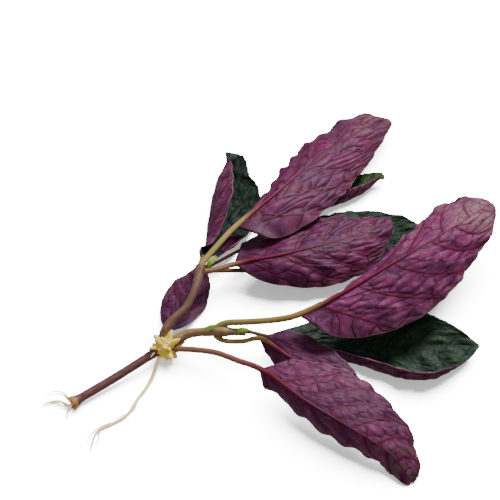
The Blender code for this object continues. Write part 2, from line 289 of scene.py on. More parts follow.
class Finish:
    """A material whose graph is built by arithmetic; constants go straight to the shader's sockets."""

    def __init__(self, name, **constants):
        self.material = bpy.data.materials.new(name)
        self.material.use_nodes = True
        self.tree = self.material.node_tree
        self.shader = self.tree.nodes["Principled BSDF"]
        for socket, value in constants.items():
            self.shader.inputs[socket.replace("_", " ")].default_value = value

    def node(self, kind, settings=None, inputs=None, output=0):
        """Any node: its settings are set first, then its inputs are linked or given values."""
        node = self.tree.nodes.new(kind)
        for key, value in (settings or {}).items():
            setattr(node, key, value)
        for key, value in (inputs or {}).items():
            self.feed(node.inputs[key], value)
        return Term(self, node.outputs[output])

    def feed(self, socket, value):
        if isinstance(value, Term):
            self.tree.links.new(value.socket, socket)
        else:
            socket.default_value = value

    def color(self, value):
        """A term as it is, or red, green and blue up to 255 as the linear colour that sockets take."""
        return value if isinstance(value, Term) else (*((np.array(value) / 255) ** 2.2).tolist(), 1.0)

    def blend(self, low, high, factor):
        """A colour between two others, each of them a term or red, green and blue up to 255."""
        inputs = {0: factor, 6: self.color(low), 7: self.color(high)}
        return self.node("ShaderNodeMix", {"data_type": "RGBA"}, inputs, output=2)

    def ramp(self, value, start, end, low=0.0, high=1.0):
        """A smooth change from low to high while value goes from start to end."""
        inputs = {0: value, 1: start, 2: end, 3: low, 4: high}
        return self.node("ShaderNodeMapRange", {"interpolation_type": "SMOOTHSTEP"}, inputs)

    def map(self, name):
        return self.node("ShaderNodeUVMap", {"uv_map": name})

    def pair(self, name):
        """The two numbers that a UV map of the piece holds."""
        across = self.node("ShaderNodeSeparateXYZ", inputs={0: self.map(name)})
        return across, Term(self, across.socket.node.outputs[1])

    def place(self):
        return self.node("ShaderNodeTexCoord", output=3)

    def noise(self, vector, scale, detail=3.0, rough=0.55):
        inputs = {"Vector": vector, "Scale": scale, "Detail": detail, "Roughness": rough}
        return self.node("ShaderNodeTexNoise", inputs=inputs)

    def walls(self, vector, scale):
        """How far each place is from the nearest wall of a net of irregular cells."""
        settings = {"feature": "DISTANCE_TO_EDGE", "voronoi_dimensions": "2D"}
        return self.node("ShaderNodeTexVoronoi", settings, {"Vector": vector, "Scale": scale})

    def folds(self):
        """Fine wrinkles that run across the bands between the side veins."""
        return self.noise(self.stretched(*self.pair("cells"), 2.6, 0.8), 1.0, 3)

    def stretched(self, across, along, wide, long):
        """A vector for patterns that are finer one way than the other."""
        return self.node("ShaderNodeCombineXYZ", inputs={0: across * wide, 1: along * long})

    def done(self, color, rough, height=None, depth=0.0001):
        """Links the colour, the roughness and the relief, and returns the material."""
        self.feed(self.shader.inputs["Base Color"], color)
        self.feed(self.shader.inputs["Roughness"], rough)
        if height is not None:
            bump = self.node("ShaderNodeBump", inputs={"Distance": depth, "Height": height})
            self.feed(self.shader.inputs["Normal"], bump)
        return self.material


# %% [markdown]
# The underside of a leaf is mauve. Each panel between the small veins swells, and its colour is painted
# lighter and pinker in its middle and on high places, where it would catch the light, and painted dusky
# towards the veins and in hollows, where shade falls. Pale patches and crests get painted highlights, and a
# painted highlight runs along the margin. Side veins are crimson, the net between them is a darker crease,
# and grey and olive clouds drift over it all, most of them near the tip and the margin.
# A painted picture would blur up close. Instead the leaf's own maps say how far a place is from each kind
# of vein, so the lines stay sharp and keep their width wherever the blade bends. The net of small veins is
# a Voronoi texture on a map of the blade laid flat: its cells are what makes the waffle. Where the waffle
# is clear, the small wrinkles between its lines are calmer.

# %% Mauve underside
def leaf_terms(finish):
    """How far a place is from a side vein and from the net of small veins, and where on the leaf it is."""
    side, lift = finish.pair("vein")
    reach, along = finish.pair("leaf")
    return side, finish.walls(finish.map("cells"), 1.0), lift, abs(reach), along


CRIMSON = (80, 0, 40)
DARK_CRIMSON = (58, 0, 34)
SLATE = (58, 31, 59)
MARGIN_HIGHLIGHT = (150, 104, 124)
HIGHLIGHT_TINT = (0, 20, 24)
VEIN_HALF_WIDTH = 0.44
CALMER_ON_WAFFLE = 0.55


def underside(name, top, low, tip, waffle=0.0):
    """The mauve side: colours of the panels' lit tops and shaded hollows, which carry painted light and
    shade, of the tip, and how clear the waffle is.
    """
    finish = Finish(name, Specular_IOR_Level=0.13)
    # The colour of the painted highlights: the top colour, paler and tinted cool, like a reflection of the
    # sky.
    pale = tuple(value * 1.25 + cool for value, cool in zip(top, HIGHLIGHT_TINT))
    calm = 1 - CALMER_ON_WAFFLE * waffle
    side, wall, lift, reach, along = leaf_terms(finish)
    place = finish.place()
    clouds = finish.noise(place, 70, 2)
    patches = finish.noise(place, 230, 4, 0.6)
    grain = finish.noise(place, 1700, 3)
    crinkle = finish.noise(place, 620, 5, 0.7)
    folds = finish.folds()
    # Panels: painted lighter and pinker on their domes and high places and darker in their hollows, as
    # painted light and shade, with slate patches, painted highlights on high pale patches, and olive towards
    # the tip and the margin.
    dome = finish.ramp(wall + (patches - 0.5) * 0.2, 0.02, 0.34)
    high = finish.ramp(lift + (patches - 0.5) * 0.8, 0.0, 1.3)
    skin = finish.blend(low, top, dome * 0.2 + high * 0.35 + clouds * 0.6 + 0.02)
    slate = finish.ramp(clouds - patches * 0.4, 0.2, 0.36, 1.0, 0.0)
    skin = finish.blend(skin, SLATE, slate * 0.45)
    skin = finish.blend(skin, pale, finish.ramp(patches, 0.5, 0.75) * high * 0.35)
    outer = finish.ramp(reach, 0.5, 1.0) * 0.35 + finish.ramp(along, 0.6, 0.98)
    olive = finish.ramp(clouds * 0.6 + patches * 0.5, 0.46, 0.62) * outer
    skin = finish.blend(skin, tip, olive.smaller(0.8))
    # Wrinkles: painted shade in their hollows and a painted highlight on their crests.
    skin = finish.blend(skin, low, finish.ramp(folds, 0.32, 0.5, 0.35 * calm, 0.0))
    skin = finish.blend(skin, low, finish.ramp(crinkle, 0.34, 0.5, 0.5 * calm, 0.0))
    skin = finish.blend(skin, pale, finish.ramp(crinkle, 0.54, 0.72, 0.0, 0.4))
    # Veins: first the net, then a shadow beside each side vein, then the vein, thinner further out.
    crease = finish.ramp(wall, 0.02, 0.045 + 0.035 * waffle, 1.0, 0.0)
    skin = finish.blend(skin, DARK_CRIMSON, crease * (0.45 + patches).smaller(1.0))
    width = VEIN_HALF_WIDTH - reach * 0.2
    skin = finish.blend(skin, low, finish.ramp(side - width * 2.0, -0.3, 0.3, 0.5, 0.0))
    skin = finish.blend(skin, CRIMSON, finish.ramp(side - width, -0.1, 0.05, 1.0, 0.0))
    # A painted highlight along the margin.
    skin = finish.blend(skin, MARGIN_HIGHLIGHT, finish.ramp(reach, 0.975, 0.995) * 0.5)
    walls = wall.smaller(0.08 + 0.05 * waffle) * 0.9
    height = walls + folds * (1.3 * calm) + crinkle * (0.9 * calm) + grain * 0.25
    return finish.done(skin, 0.42 + patches * 0.2, height, 0.0002)


MAUVE = underside("mauve underside", (115, 48, 86), (54, 14, 42), (94, 70, 72))
ROSE = underside("rose underside", (102, 32, 73), (43, 8, 34), (86, 58, 62), waffle=1.0)
PINK = underside("pink underside", (130, 55, 98), (62, 18, 48), (110, 82, 82))
DUSKY = underside("dusky underside", (96, 38, 76), (48, 14, 40), (84, 58, 60))
print("undersides:", [skin.name for skin in (MAUVE, ROSE, PINK, DUSKY)])

# %% [markdown]
# The upper side is a very dark green, with painted shade, almost black, in the hollows and in the creases of
# the net. Its panels are painted paler on top, as painted light, the margin is a thin purple line, and the
# tip turns a fresher green. It could be a picture of its own, but it reads the same maps as the underside, so
# the veins of both sides lie over one another, as on a real blade.

# %% Green upper side
CREASE_SHADE = (12, 20, 16)
VEIN_GREEN = (16, 26, 20)
PURPLE_MARGIN = (74, 44, 60)


def upper_side(name, light, dark, fresh):
    """The green side: colours of the panels' lit tops and shaded hollows, which carry painted light and
    shade, and of the tip.
    """
    finish = Finish(name, Specular_IOR_Level=0.12)
    side, wall, lift, reach, along = leaf_terms(finish)
    place = finish.place()
    clouds = finish.noise(place, 90, 3)
    patches = finish.noise(place, 300, 3)
    grain = finish.noise(place, 1500, 3)
    crinkle = finish.noise(place, 460, 5, 0.65)
    # Painted light and shade: domes and high places lighter, hollows darker.
    dome = finish.ramp(wall + (patches - 0.5) * 0.25, 0.03, 0.4)
    high = finish.ramp(lift, 0.0, 1.4)
    skin = finish.blend(dark, light, dome * 0.3 + high * 0.4 + clouds * 0.5 - 0.1)
    # Painted shade in the hollows of the wrinkles.
    skin = finish.blend(skin, dark, finish.ramp(crinkle, 0.36, 0.5, 0.6, 0.0))
    # A fresher green towards the tip and in clouds, shown only on high places, so it is partly the tip's own
    # colour and partly painted light.
    greener = finish.ramp(along, 0.6, 1.0) * 0.6 + finish.ramp(clouds, 0.5, 0.7) * 0.4
    skin = finish.blend(skin, fresh, greener * high * 0.8)
    # Painted shade in the creases of the net of small veins.
    skin = finish.blend(skin, CREASE_SHADE, finish.ramp(wall, 0.01, 0.06, 1.0, 0.0) * 0.6)
    skin = finish.blend(skin, VEIN_GREEN, finish.ramp(side, 0.1, 0.45, 0.7, 0.0))
    skin = finish.blend(skin, PURPLE_MARGIN, finish.ramp(reach, 0.95, 0.99) * 0.6)
    height = wall.smaller(0.1) * 1.6 + finish.folds() * 1.2 + crinkle * 1.6 + grain * 0.3
    return finish.done(skin, 0.42 + patches * 0.2, height, 0.00025)


GREEN = upper_side("green upper side", (44, 64, 50), (24, 36, 31), (50, 70, 36))
DARK_GREEN = upper_side("dark green upper side", (36, 52, 42), (16, 26, 21), (44, 58, 34))
FRESH = upper_side("fresh green upper side", (76, 100, 46), (32, 46, 26), (90, 112, 42))
print("upper sides:", [skin.name for skin in (GREEN, DARK_GREEN, FRESH)])

# %% [markdown]
# The stalk of a leaf runs on as its midrib. It is olive or brown where it leaves the stem and turns crimson
# along the blade, on some leaves sooner than on others. A noise in space would spot it like a stone. Its
# real streaks run lengthwise, so the noise is read from the tube's own map and stretched along it.

# %% Stalks and midribs
WINE = (104, 30, 48)
BROWN_STREAK = (70, 30, 36)


def stalk_skin(name, foot, middle, blade, turn=0.32):
    """The colours at the stem, where the blade begins and along the midrib, and where it turns crimson."""
    finish = Finish(name, Specular_IOR_Level=0.16)
    around, along = finish.pair("leaf")
    place = finish.place()
    streaks = finish.noise(finish.stretched(around, along, 5, 14), 1.6, 4)
    clouds = finish.noise(place, 260, 2)
    skin = finish.blend(foot, middle, finish.ramp(along + clouds * 0.1, 0.12, 0.4))
    below = finish.ramp(abs(around), 0.3, 0.7, 1.0, 0.0)
    skin = finish.blend(skin, WINE, below * 0.6)
    skin = finish.blend(skin, BROWN_STREAK, finish.ramp(streaks, 0.5, 0.75) * 0.3)
    skin = finish.blend(skin, blade, finish.ramp(along + clouds * 0.06, turn, turn + 0.12))
    return finish.done(skin, 0.4 + clouds * 0.15, streaks, 0.0001)


OLIVE_STALK = stalk_skin("olive stalk", (130, 114, 62), (140, 104, 64), (100, 0, 50), turn=0.29)
PALE_STALK = stalk_skin("pale stalk", (146, 126, 76), (148, 112, 76), (92, 8, 46), turn=0.22)
RED_STALK = stalk_skin("red stalk", (126, 92, 70), (122, 64, 64), (84, 6, 40))
WINE_STALK = stalk_skin("wine stalk", (126, 92, 70), (122, 58, 62), (92, 6, 44), turn=0.16)
DARK_STALK = stalk_skin("dark stalk", (98, 74, 52), (72, 32, 38), (28, 24, 22))
print("stalks:", [skin.name for skin in (OLIVE_STALK, PALE_STALK, RED_STALK, WINE_STALK, DARK_STALK)])

# %% [markdown]
# A leaf could be pushed into shape point by point, but the next one would then start from nothing. Here a
# leaf is described by the line of its midrib and by its two halves. Of each half it says how wide it is in
# millimetres, at what share of the length it is widest, by how many degrees it folds up from the midrib
# and curls on its way to the margin, at the foot and at the tip, how late that curl comes, how blunt the
# outline is, how much more pointed it gets towards the tip, and over which share of the length it flattens
# out there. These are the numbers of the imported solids, so each dressed leaf lies where its solid lies. The
# stalk gets one more point, inside the stem. The waffle is a number between 0 and 1. Most leaves have
# little of it and lie with the underside up.

# %% What a leaf is
EVEN_TURN = (1.0, 1.0)
BLUNT = 0.6
OPENING = 0.1
FLATTENING = 0.14
SHAPE = "width widest fold curl late blunt point flat"
Half = namedtuple("Half", SHAPE, defaults=(EVEN_TURN, BLUNT, 0.0, FLATTENING))
Leaf = namedtuple(
    "Leaf",
    "name foot stalk rib stalk_radius left right veins ripple pucker cell skins waffle under_up slot",
    defaults=(0.3, True, "purple_leaf"),
)
CURL_STEPS = 10


def half_width(half, share):
    """How wide a half is at this share of the midrib: a sine arch, leaning towards where it is widest."""
    skew = math.log(0.5) / math.log(half.widest)
    share = np.clip(share, 0, 1)
    return half.width * np.sin(math.pi * share**skew) ** (half.blunt + half.point * share**2)


def across_half(half, share, reach):
    """How far out and up a half has come, as shares of its width, and its tilt there."""
    fold, curl, late = (base * (1 - share) + tip * share for base, tip in (half.fold, half.curl, half.late))
    folded = smooth_step(share / OPENING) * smooth_step((1 - share) / half.flat)
    parts = (np.arange(CURL_STEPS) + 0.5) / CURL_STEPS * reach[..., None]
    turns = np.radians(fold[..., None] + curl[..., None] * parts ** late[..., None]) * folded[..., None]
    tilt = np.radians(fold + curl * reach**late) * folded
    return np.cos(turns).mean(-1) * reach, np.sin(turns).mean(-1) * reach, tilt


def crooked(value, seed):
    """A smooth wavering number between -1 and 1."""
    waves = ((1.0, 0.0), (2.3, 1.7), (4.1, 4.2))
    return sum(np.sin(value * speed + shift + seed * (speed + 1.3)) / speed for speed, shift in waves) / 1.6


# %% [markdown]
# Side veins leave the midrib at a slant and then sweep forward to run along the margin. They could be cut
# into a plain grid afterwards, but its edges would cross them and make them jagged. So the rows of the grid
# follow them, and each vein runs along an edge of the mesh. The two halves take turns: a vein on the left
# starts midway between two on the right. Besides its place in space, each point has a place on the blade
# laid flat, which the net of small veins is drawn on.

# %% Lines of the blade
SWEEP = 0.78
SWEEP_BEND = 1.4
SMALL_STEP = 0.004
TOOTH_LENGTH = 5.2
TOOTH_DEPTH = 0.5
LOBE_DEPTH = 0.32


class Blade:
    """A leaf with its midrib, its side veins and its surface worked out."""

    def __init__(self, leaf):
        self.__dict__.update(leaf._asdict())
        self.spine = Spine([leaf.foot, *leaf.stalk, *leaf.rib])
        self.base = self.spine.share(len(leaf.stalk) + 1)
        self.length = self.spine.length * (1 - self.base)
        self.seed = sum(map(ord, leaf.name)) % 17

    def half(self, side):
        return self.left if side < 0 else self.right

    def share(self, side, row, reach):
        """The share of the midrib that a row has come level with when it is this far out."""
        start = row + crooked(row * self.veins * 2.2 + side, self.seed) * 0.5 / self.veins * row * (1 - row)
        bend = 0.012 * crooked(reach * 3 + row * 9, self.seed + side) * reach * (1 - row) * row * 4
        return start + SWEEP * np.sqrt(np.clip(start, 0, 1)) * (1 - start) * reach**SWEEP_BEND + bend

    def width(self, side, share):
        """How far the margin is from the midrib, which is never less than the stalk's own radius."""
        return np.hypot(half_width(self.half(side), share), self.stalk_radius * (1 - share))

    def flat(self, side, row, reach):
        """The place on the blade laid flat: across and along, in millimetres."""
        share = self.share(side, row, reach)
        return np.stack([side * reach * self.width(side, share), share * self.length], -1)

    def vein_gap(self, side, row, reach):
        """How many millimetres apart two rows are, measured square to them, for a whole step of row."""
        here = self.flat(side, row, reach)
        onward = (self.flat(side, row + SMALL_STEP, reach) - here) / SMALL_STEP
        outward = (self.flat(side, row, reach + SMALL_STEP) - here) / SMALL_STEP
        area = np.abs(onward[..., 0] * outward[..., 1] - onward[..., 1] * outward[..., 0])
        return area / np.maximum(np.linalg.norm(outward, axis=-1), 1e-6)

    def cells(self, side, row, reach):
        """The place on the net: there each cell is about one wide and one long."""
        wide, per_band = self.cell
        out = side * reach * self.width(side, self.share(side, row, 0.6)) * 1.15 / wide
        band = self.phase(side, row) * per_band
        bent = band + 0.22 * np.sin(out * 2.1 + self.seed) + 0.12 * np.sin(out * 4.7 - row * 9)
        return np.stack([out + 0.3 * np.sin(band * 2.3 + self.seed * 2), bent + self.seed * 3], -1)

    def lumps(self, flat):
        """A slow irregular swell over the flat blade, between -1 and 1."""
        u, v = flat[..., 0] * 0.72, flat[..., 1] * 0.72
        s = self.seed
        total = np.sin(u + 0.5 * v + s) + np.sin(0.4 * u - 0.9 * v + 2 * s) + np.sin(1.1 * u + 0.8 * v - s)
        return (total + np.sin(1.7 * v - 0.3 * u + 3 * s) * 0.8 + np.sin(1.5 * u - 1.2 * v) * 0.6) / 3

    def margin(self, side, row):
        """The rounded teeth and lobes of the margin, as a share of the half's width."""
        teeth = np.abs(np.sin(math.pi * (row * self.length / TOOTH_LENGTH + 0.25 * side))) ** 0.7
        lobes = crooked(row * self.length * 0.32, side + self.seed)
        return (TOOTH_DEPTH * (teeth - 0.65) + LOBE_DEPTH * lobes) / max(self.half(side).width, 5)

    def surface(self, side, row, reach):
        """Points of the blade's middle surface and the directions that stand on it."""
        share = self.share(side, row, reach)
        width = self.width(side, share) * (1 + self.margin(side, row) * reach**4)
        _, right, up = self.spine.frame(self.base + (1 - self.base) * share)
        out, rise, tilt = across_half(self.half(side), share, reach)
        middle = self.spine.at(self.base + (1 - self.base) * share)
        point = middle + right * (side * out * width)[..., None] + up * (rise * width)[..., None]
        return point, up * np.cos(tilt)[..., None] - right * (side * np.sin(tilt))[..., None]

    def phase(self, side, row):
        """A number that goes up by one from each side vein to the next."""
        return row * self.veins + (0.5 if side > 0 else 0.0)


# %% [markdown]
# The waffle is real relief. The height of the small cells must match the creases that the finish draws,
# so both read the same texture: a short tree of geometry nodes stores the Voronoi's distance at each
# point of the blade, and Python reads it back.

# %% Height of the cells
def wall_nodes():
    tree = bpy.data.node_groups.new("cell walls", "GeometryNodeTree")
    tree.interface.new_socket("Geometry", in_out="INPUT", socket_type="NodeSocketGeometry")
    tree.interface.new_socket("Geometry", in_out="OUTPUT", socket_type="NodeSocketGeometry")
    entry = tree.nodes.new("NodeGroupInput")
    leave = tree.nodes.new("NodeGroupOutput")
    place = tree.nodes.new("GeometryNodeInputNamedAttribute")
    place.data_type = "FLOAT_VECTOR"
    place.inputs["Name"].default_value = "cells"
    cells = tree.nodes.new("ShaderNodeTexVoronoi")
    cells.feature = "DISTANCE_TO_EDGE"
    cells.voronoi_dimensions = "2D"
    cells.inputs["Scale"].default_value = 1.0
    store = tree.nodes.new("GeometryNodeStoreNamedAttribute")
    store.inputs["Name"].default_value = "wall"
    tree.links.new(entry.outputs[0], store.inputs["Geometry"])
    tree.links.new(place.outputs["Attribute"], cells.inputs["Vector"])
    tree.links.new(cells.outputs["Distance"], store.inputs["Value"])
    tree.links.new(store.outputs["Geometry"], leave.inputs[0])
    return tree


WALL_NODES = wall_nodes()


def wall_distances(piece):
    """How far each point is from the nearest wall of its cell."""
    modifier = piece.modifiers.new("walls", "NODES")
    modifier.node_group = WALL_NODES
    bpy.context.view_layer.objects.active = piece
    bpy.ops.object.modifier_apply(modifier=modifier.name)
    distances = np.zeros(len(piece.data.vertices))
    piece.data.attributes["wall"].data.foreach_get("value", distances)
    piece.data.attributes.remove(piece.data.attributes["wall"])
    return distances


# %% [markdown]
# The blade is one grid from margin to margin. Broad puckers swell between the side veins, cells dome
# between the small ones, folds run across, the side veins stand up a little, and the margin waves. These
# could be sculpted with a brush, but then every leaf would have to be done by hand. Written as heights in
# millimetres, they lift each point off the smooth blade along the direction that stands on it there. Near
# the table the blade is eased upwards, so that no point sinks into it.

# %% Blade
PUCKER_HEIGHT = 0.4
SWELL_HEIGHT = 0.1
DOME_HEIGHT = 0.07
WAFFLE_HEIGHT = 0.3
DOME_EDGE = 0.13
FOLD_HEIGHT = 0.16
RIDGE_HEIGHT = 0.12
RIDGE_WIDTH = 0.35
END_FADE = 0.08
TIP_ROW = 0.992
POINT_STEP = 0.3
LEAF_THICKNESS = 0.36
TABLE_EASE = 0.25


def blade_relief(blade, side, row, reach, wall):
    """How high each point stands off the smooth blade, and how far the margin waves up or down there."""
    flat = blade.flat(side, row, reach)
    part = blade.phase(side, row) % 1.0
    fade = smooth_step(reach / 0.14) * smooth_step(row / END_FADE) * smooth_step((1 - row) / END_FADE)
    pucker = np.sin(math.pi * part) ** 2 * np.sin(math.pi * np.clip(0.12 + 0.8 * reach, 0, 1)) ** 0.7
    lumps = blade.lumps(flat)
    swell = blade.pucker * (PUCKER_HEIGHT * pucker * (1 + 0.3 * lumps) + SWELL_HEIGHT * lumps * reach)
    dome = DOME_HEIGHT + WAFFLE_HEIGHT * blade.waffle
    dome = dome * (1 - np.exp(-wall / DOME_EDGE)) * (0.8 + 0.3 * np.abs(lumps))
    out = reach * blade.width(side, blade.share(side, row, 0.6))
    fold = np.sin(out * 2.1 + 2.4 * np.sin(part * 3.6 + 5 * row + blade.seed) + 1.8 * lumps)
    folds = FOLD_HEIGHT * (1 - 0.8 * blade.waffle) * fold * np.sin(math.pi * part) ** 0.7 * blade.pucker
    vein = np.minimum(part, 1 - part) / blade.veins * blade.vein_gap(side, row, reach)
    ridge = RIDGE_HEIGHT * bell(vein, RIDGE_WIDTH) * (1 - 0.6 * reach)
    relief = (swell + folds + dome + ridge) * fade
    run = flat[..., 1]
    wave = np.sin(run * 0.62 + 2 * side + blade.seed) + 0.7 * np.sin(run * 0.29 + blade.seed * 3 - side)
    return relief, blade.ripple * wave * reach**2.6 * smooth_step(row / 0.1)


def blade_sheet(leaf):
    """The puckered sheet of a leaf, with maps of its veins."""
    blade = Blade(leaf)
    per_band = max(2, round(blade.length / leaf.veins / POINT_STEP / 2))
    columns = 2 * max(8, round((leaf.left.width + leaf.right.width) / 2 / POINT_STEP))
    piece, across, along = flat_sheet(leaf.name + "_skin", columns, 2 * leaf.veins * per_band)
    row, reach = along * TIP_ROW, np.abs(across)
    point, face = corners(piece)
    middle = np.bincount(face, across[point], len(piece.data.polygons)) / 4
    band = np.bincount(face, row[point], len(piece.data.polygons)) / 4
    net, distance = np.zeros((len(point), 2)), np.zeros(len(point))
    for side in (-1, 1):
        own = (middle * side > 0)[face]
        place = row[point[own]], reach[point[own]]
        net[own] = blade.cells(side, *place)
        nearest = np.round(blade.phase(side, band))[face[own]]
        gap = blade.vein_gap(side, *place)
        distance[own] = np.abs(blade.phase(side, place[0]) - nearest) / blade.veins * gap
    corner_map(piece, "cells", net[:, 0], net[:, 1])
    wall = wall_distances(piece)
    points, lift = np.zeros((len(across), 3)), np.zeros(len(across))
    for side in (-1, 1):
        chosen = across < 0 if side < 0 else across >= 0
        place, normal = blade.surface(side, row[chosen], reach[chosen])
        relief, frill = blade_relief(blade, side, row[chosen], reach[chosen], wall[chosen])
        points[chosen] = place + normal * (relief + frill)[:, None]
        lift[chosen] = relief
    height = points[:, 2] - LEAF_THICKNESS * 0.6
    points[:, 2] = (height + np.hypot(height, TABLE_EASE)) / 2 + LEAF_THICKNESS * 0.6
    put_points(piece, points)
    corner_map(piece, "vein", distance, lift[point])
    corner_map(piece, "leaf", across[point], row[point])
    return piece, blade


# %% [markdown]
# Solidify gives the sheet its thickness, with the mauve skin on one side and the green one on the other,
# which is quicker than a second sheet and leaves no gap at the margin. The stalk is a tube that tapers into
# the midrib and stands a little proud of the underside. Joined, they are one leaf, which takes the place of
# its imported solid.

# %% A whole leaf
RIB_STEP = 0.7
RIB_SIDES = 16
RIB_TIP = 0.14


def dress_leaf(leaf):
    """Makes the blade and the stalk of a leaf, and joins them into one piece."""
    sheet, blade = blade_sheet(leaf)
    purple, green, stalk = leaf.skins
    for skin in (purple, green) if leaf.under_up else (green, purple):
        sheet.data.materials.append(skin)
    solid = sheet.modifiers.new("thickness", "SOLIDIFY")
    solid.thickness = LEAF_THICKNESS * MM
    solid.offset = 0
    solid.material_offset = 1
    bpy.context.view_layer.objects.active = sheet
    bpy.ops.object.modifier_apply(modifier=solid.name)
    bpy.ops.object.shade_smooth()

    def row_of(share):
        return np.clip((share - blade.base) / (1 - blade.base), 0, 1)

    def radius(share):
        row = row_of(share)
        thin = RIB_TIP + (1 - RIB_TIP) * (1 - row) ** 3.2
        closed = np.sqrt(np.clip((1.001 - row) / 0.05, 0, 1))
        return leaf.stalk_radius * thin * (1 + 0.3 * bell(share, 0.03)) * closed

    def lift(share):
        sunk = 0.45 if leaf.under_up else -0.9
        return (radius(share) + 0.15) * sunk * smooth_step(row_of(share) / 0.1)

    rings = round(blade.spine.length / RIB_STEP)
    name = leaf.name + "_rib"
    rib = rolled_tube(name, blade.spine, radius, rings, RIB_SIDES, ribs=3, rib_depth=0.05, lift=lift)
    rib.data.materials.append(stalk)
    piece = join([rib, sheet], leaf.name + "_skin")
    stands_for(piece, leaf.name)
    print(leaf.name, "blade", round(blade.length), "mm,", len(piece.data.polygons), "faces")


# %% [markdown]
# The four large leaves lie with the mauve side up. They could be copies of one leaf, bent in four ways, but
# their cells differ: on the right leaf they are long ones that run from side vein to side vein like rungs,
# and the upper leaf has the clearest waffle. So each has numbers of its own, and one function makes it.

# %% Front leaf
FRONT_LEAF = Leaf(
    "front_leaf",
    foot=(0.8, -0.3, 5.8),
    stalk=[(3.9, -1.4, 6.4), (11.3, -3.8, 8.8), (18.3, -6.6, 10.8), (25.5, -11.1, 12.5)],
    rib=[
        (33.6, -15.8, 13.5),
        (47.2, -28.9, 15),
        (63.3, -39.8, 13.5),
        (73, -45, 10),
        (78.4, -48.5, 5),
        (81.3, -51.6, 0.2),
    ],
    stalk_radius=1.05,
    left=Half(18.8, 0.42, (2, 8), (-15, -15), blunt=0.55),
    right=Half(10, 0.42, (-60, -50), (-60, -60)),
    veins=7,
    ripple=0.5,
    pucker=0.8,
    waffle=0.35,
    cell=(4.6, 1.6),
    skins=(MAUVE, GREEN, RED_STALK),
)
dress_leaf(FRONT_LEAF)

# %% [markdown]
# The right leaf is the largest and the pinkest one, and it arches high above the table. A lattice could
# bend a flat blade into that arch, but its stalk would have to be bent to match. Here both follow the same
# line of points, and the half towards the viewer folds down more and more on its way to the tip.

# %% Right leaf
RIGHT_LEAF = Leaf(
    "right_leaf",
    foot=(17.5, 3.4, 11.0),
    stalk=[(21.5, 4.6, 13), (29.6, 4, 14.5), (38.9, 3.8, 16)],
    rib=[
        (46.7, 4.6, 18),
        (60.6, 10.6, 21),
        (81.6, 23.2, 25),
        (93, 30.8, 26),
        (104, 40, 25),
        (119.5, 56, 20),
    ],
    stalk_radius=1.15,
    left=Half(14.5, 0.66, (-50, 0), (-25, -25), blunt=0.5, flat=0.32),
    right=Half(21, 0.4, (-10, -35), (-30, -30), blunt=0.72, flat=0.3),
    veins=6,
    ripple=0.45,
    pucker=1.2,
    waffle=0.25,
    cell=(4.0, 1.5),
    skins=(PINK, GREEN, OLIVE_STALK),
)
dress_leaf(RIGHT_LEAF)

# %% [markdown]
# The upper leaf has the clearest waffle: every small cell is a dome of its own. A displace modifier with a
# picture could raise such domes, but they would not line up with the veins. Here the waffle is 1, so the
# domes between the drawn veins are as high as they get, and both halves hang a little from the midrib.

# %% Upper leaf
UPPER_LEAF = Leaf(
    "upper_leaf",
    foot=(11.3, 28.3, 13.8),
    stalk=[(12.7, 30.7, 15.2), (18.5, 38, 17.2)],
    rib=[
        (24.5, 45.4, 18.5),
        (37.5, 58.5, 20),
        (48, 72, 19),
        (60.4, 88.5, 16),
        (76.9, 107.5, 11),
        (87.8, 116.3, 7),
    ],
    stalk_radius=1.05,
    left=Half(14, 0.66, (-25, -5), (-25, -25), point=0.1, flat=0.25),
    right=Half(17.5, 0.36, (-8, -15), (-22, -22), blunt=0.5, point=0.1, flat=0.24),
    veins=6,
    ripple=0.6,
    pucker=1.1,
    waffle=1.0,
    cell=(3.9, 1.6),
    skins=(ROSE, GREEN, PALE_STALK),
)
dress_leaf(UPPER_LEAF)

# %% [markdown]
# The middle leaf is short and broad, and its half towards the viewer droops over the dark leaf below it.
# A cloth simulation could let it sag, but it would settle a little differently after each change. A curl
# of 38 degrees in that half does the same, and stays as it is.

# %% Middle leaf
MIDDLE_LEAF = Leaf(
    "middle_leaf",
    foot=(12.0, 28.2, 13.0),
    stalk=[(14.8, 28.6, 13), (19.5, 29.9, 13)],
    rib=[
        (24.5, 31.9, 13),
        (39, 34.6, 14),
        (49.2, 37.8, 14),
        (63.1, 43.6, 13),
        (76.1, 52.5, 10),
        (83.3, 60, 7.5),
    ],
    stalk_radius=1.0,
    left=Half(17.5, 0.4, (-8, -4), (-8, -8), blunt=0.5, point=0.3),
    right=Half(15.5, 0.52, (-10, -12), (-38, -38), point=0.3),
    veins=6,
    ripple=0.7,
    pucker=1.2,
    waffle=0.5,
    cell=(3.8, 1.4),
    skins=(ROSE, GREEN, WINE_STALK),
)
dress_leaf(MIDDLE_LEAF)

# %% [markdown]
# Two leaves show their green side, and one margin of the larger one is rolled up, so that a strip of its
# mauve underside faces the viewer. The roll could be a bend modifier's, but that turns the whole blade.
# Here the curl of one half is simply large and comes late, close to the margin.

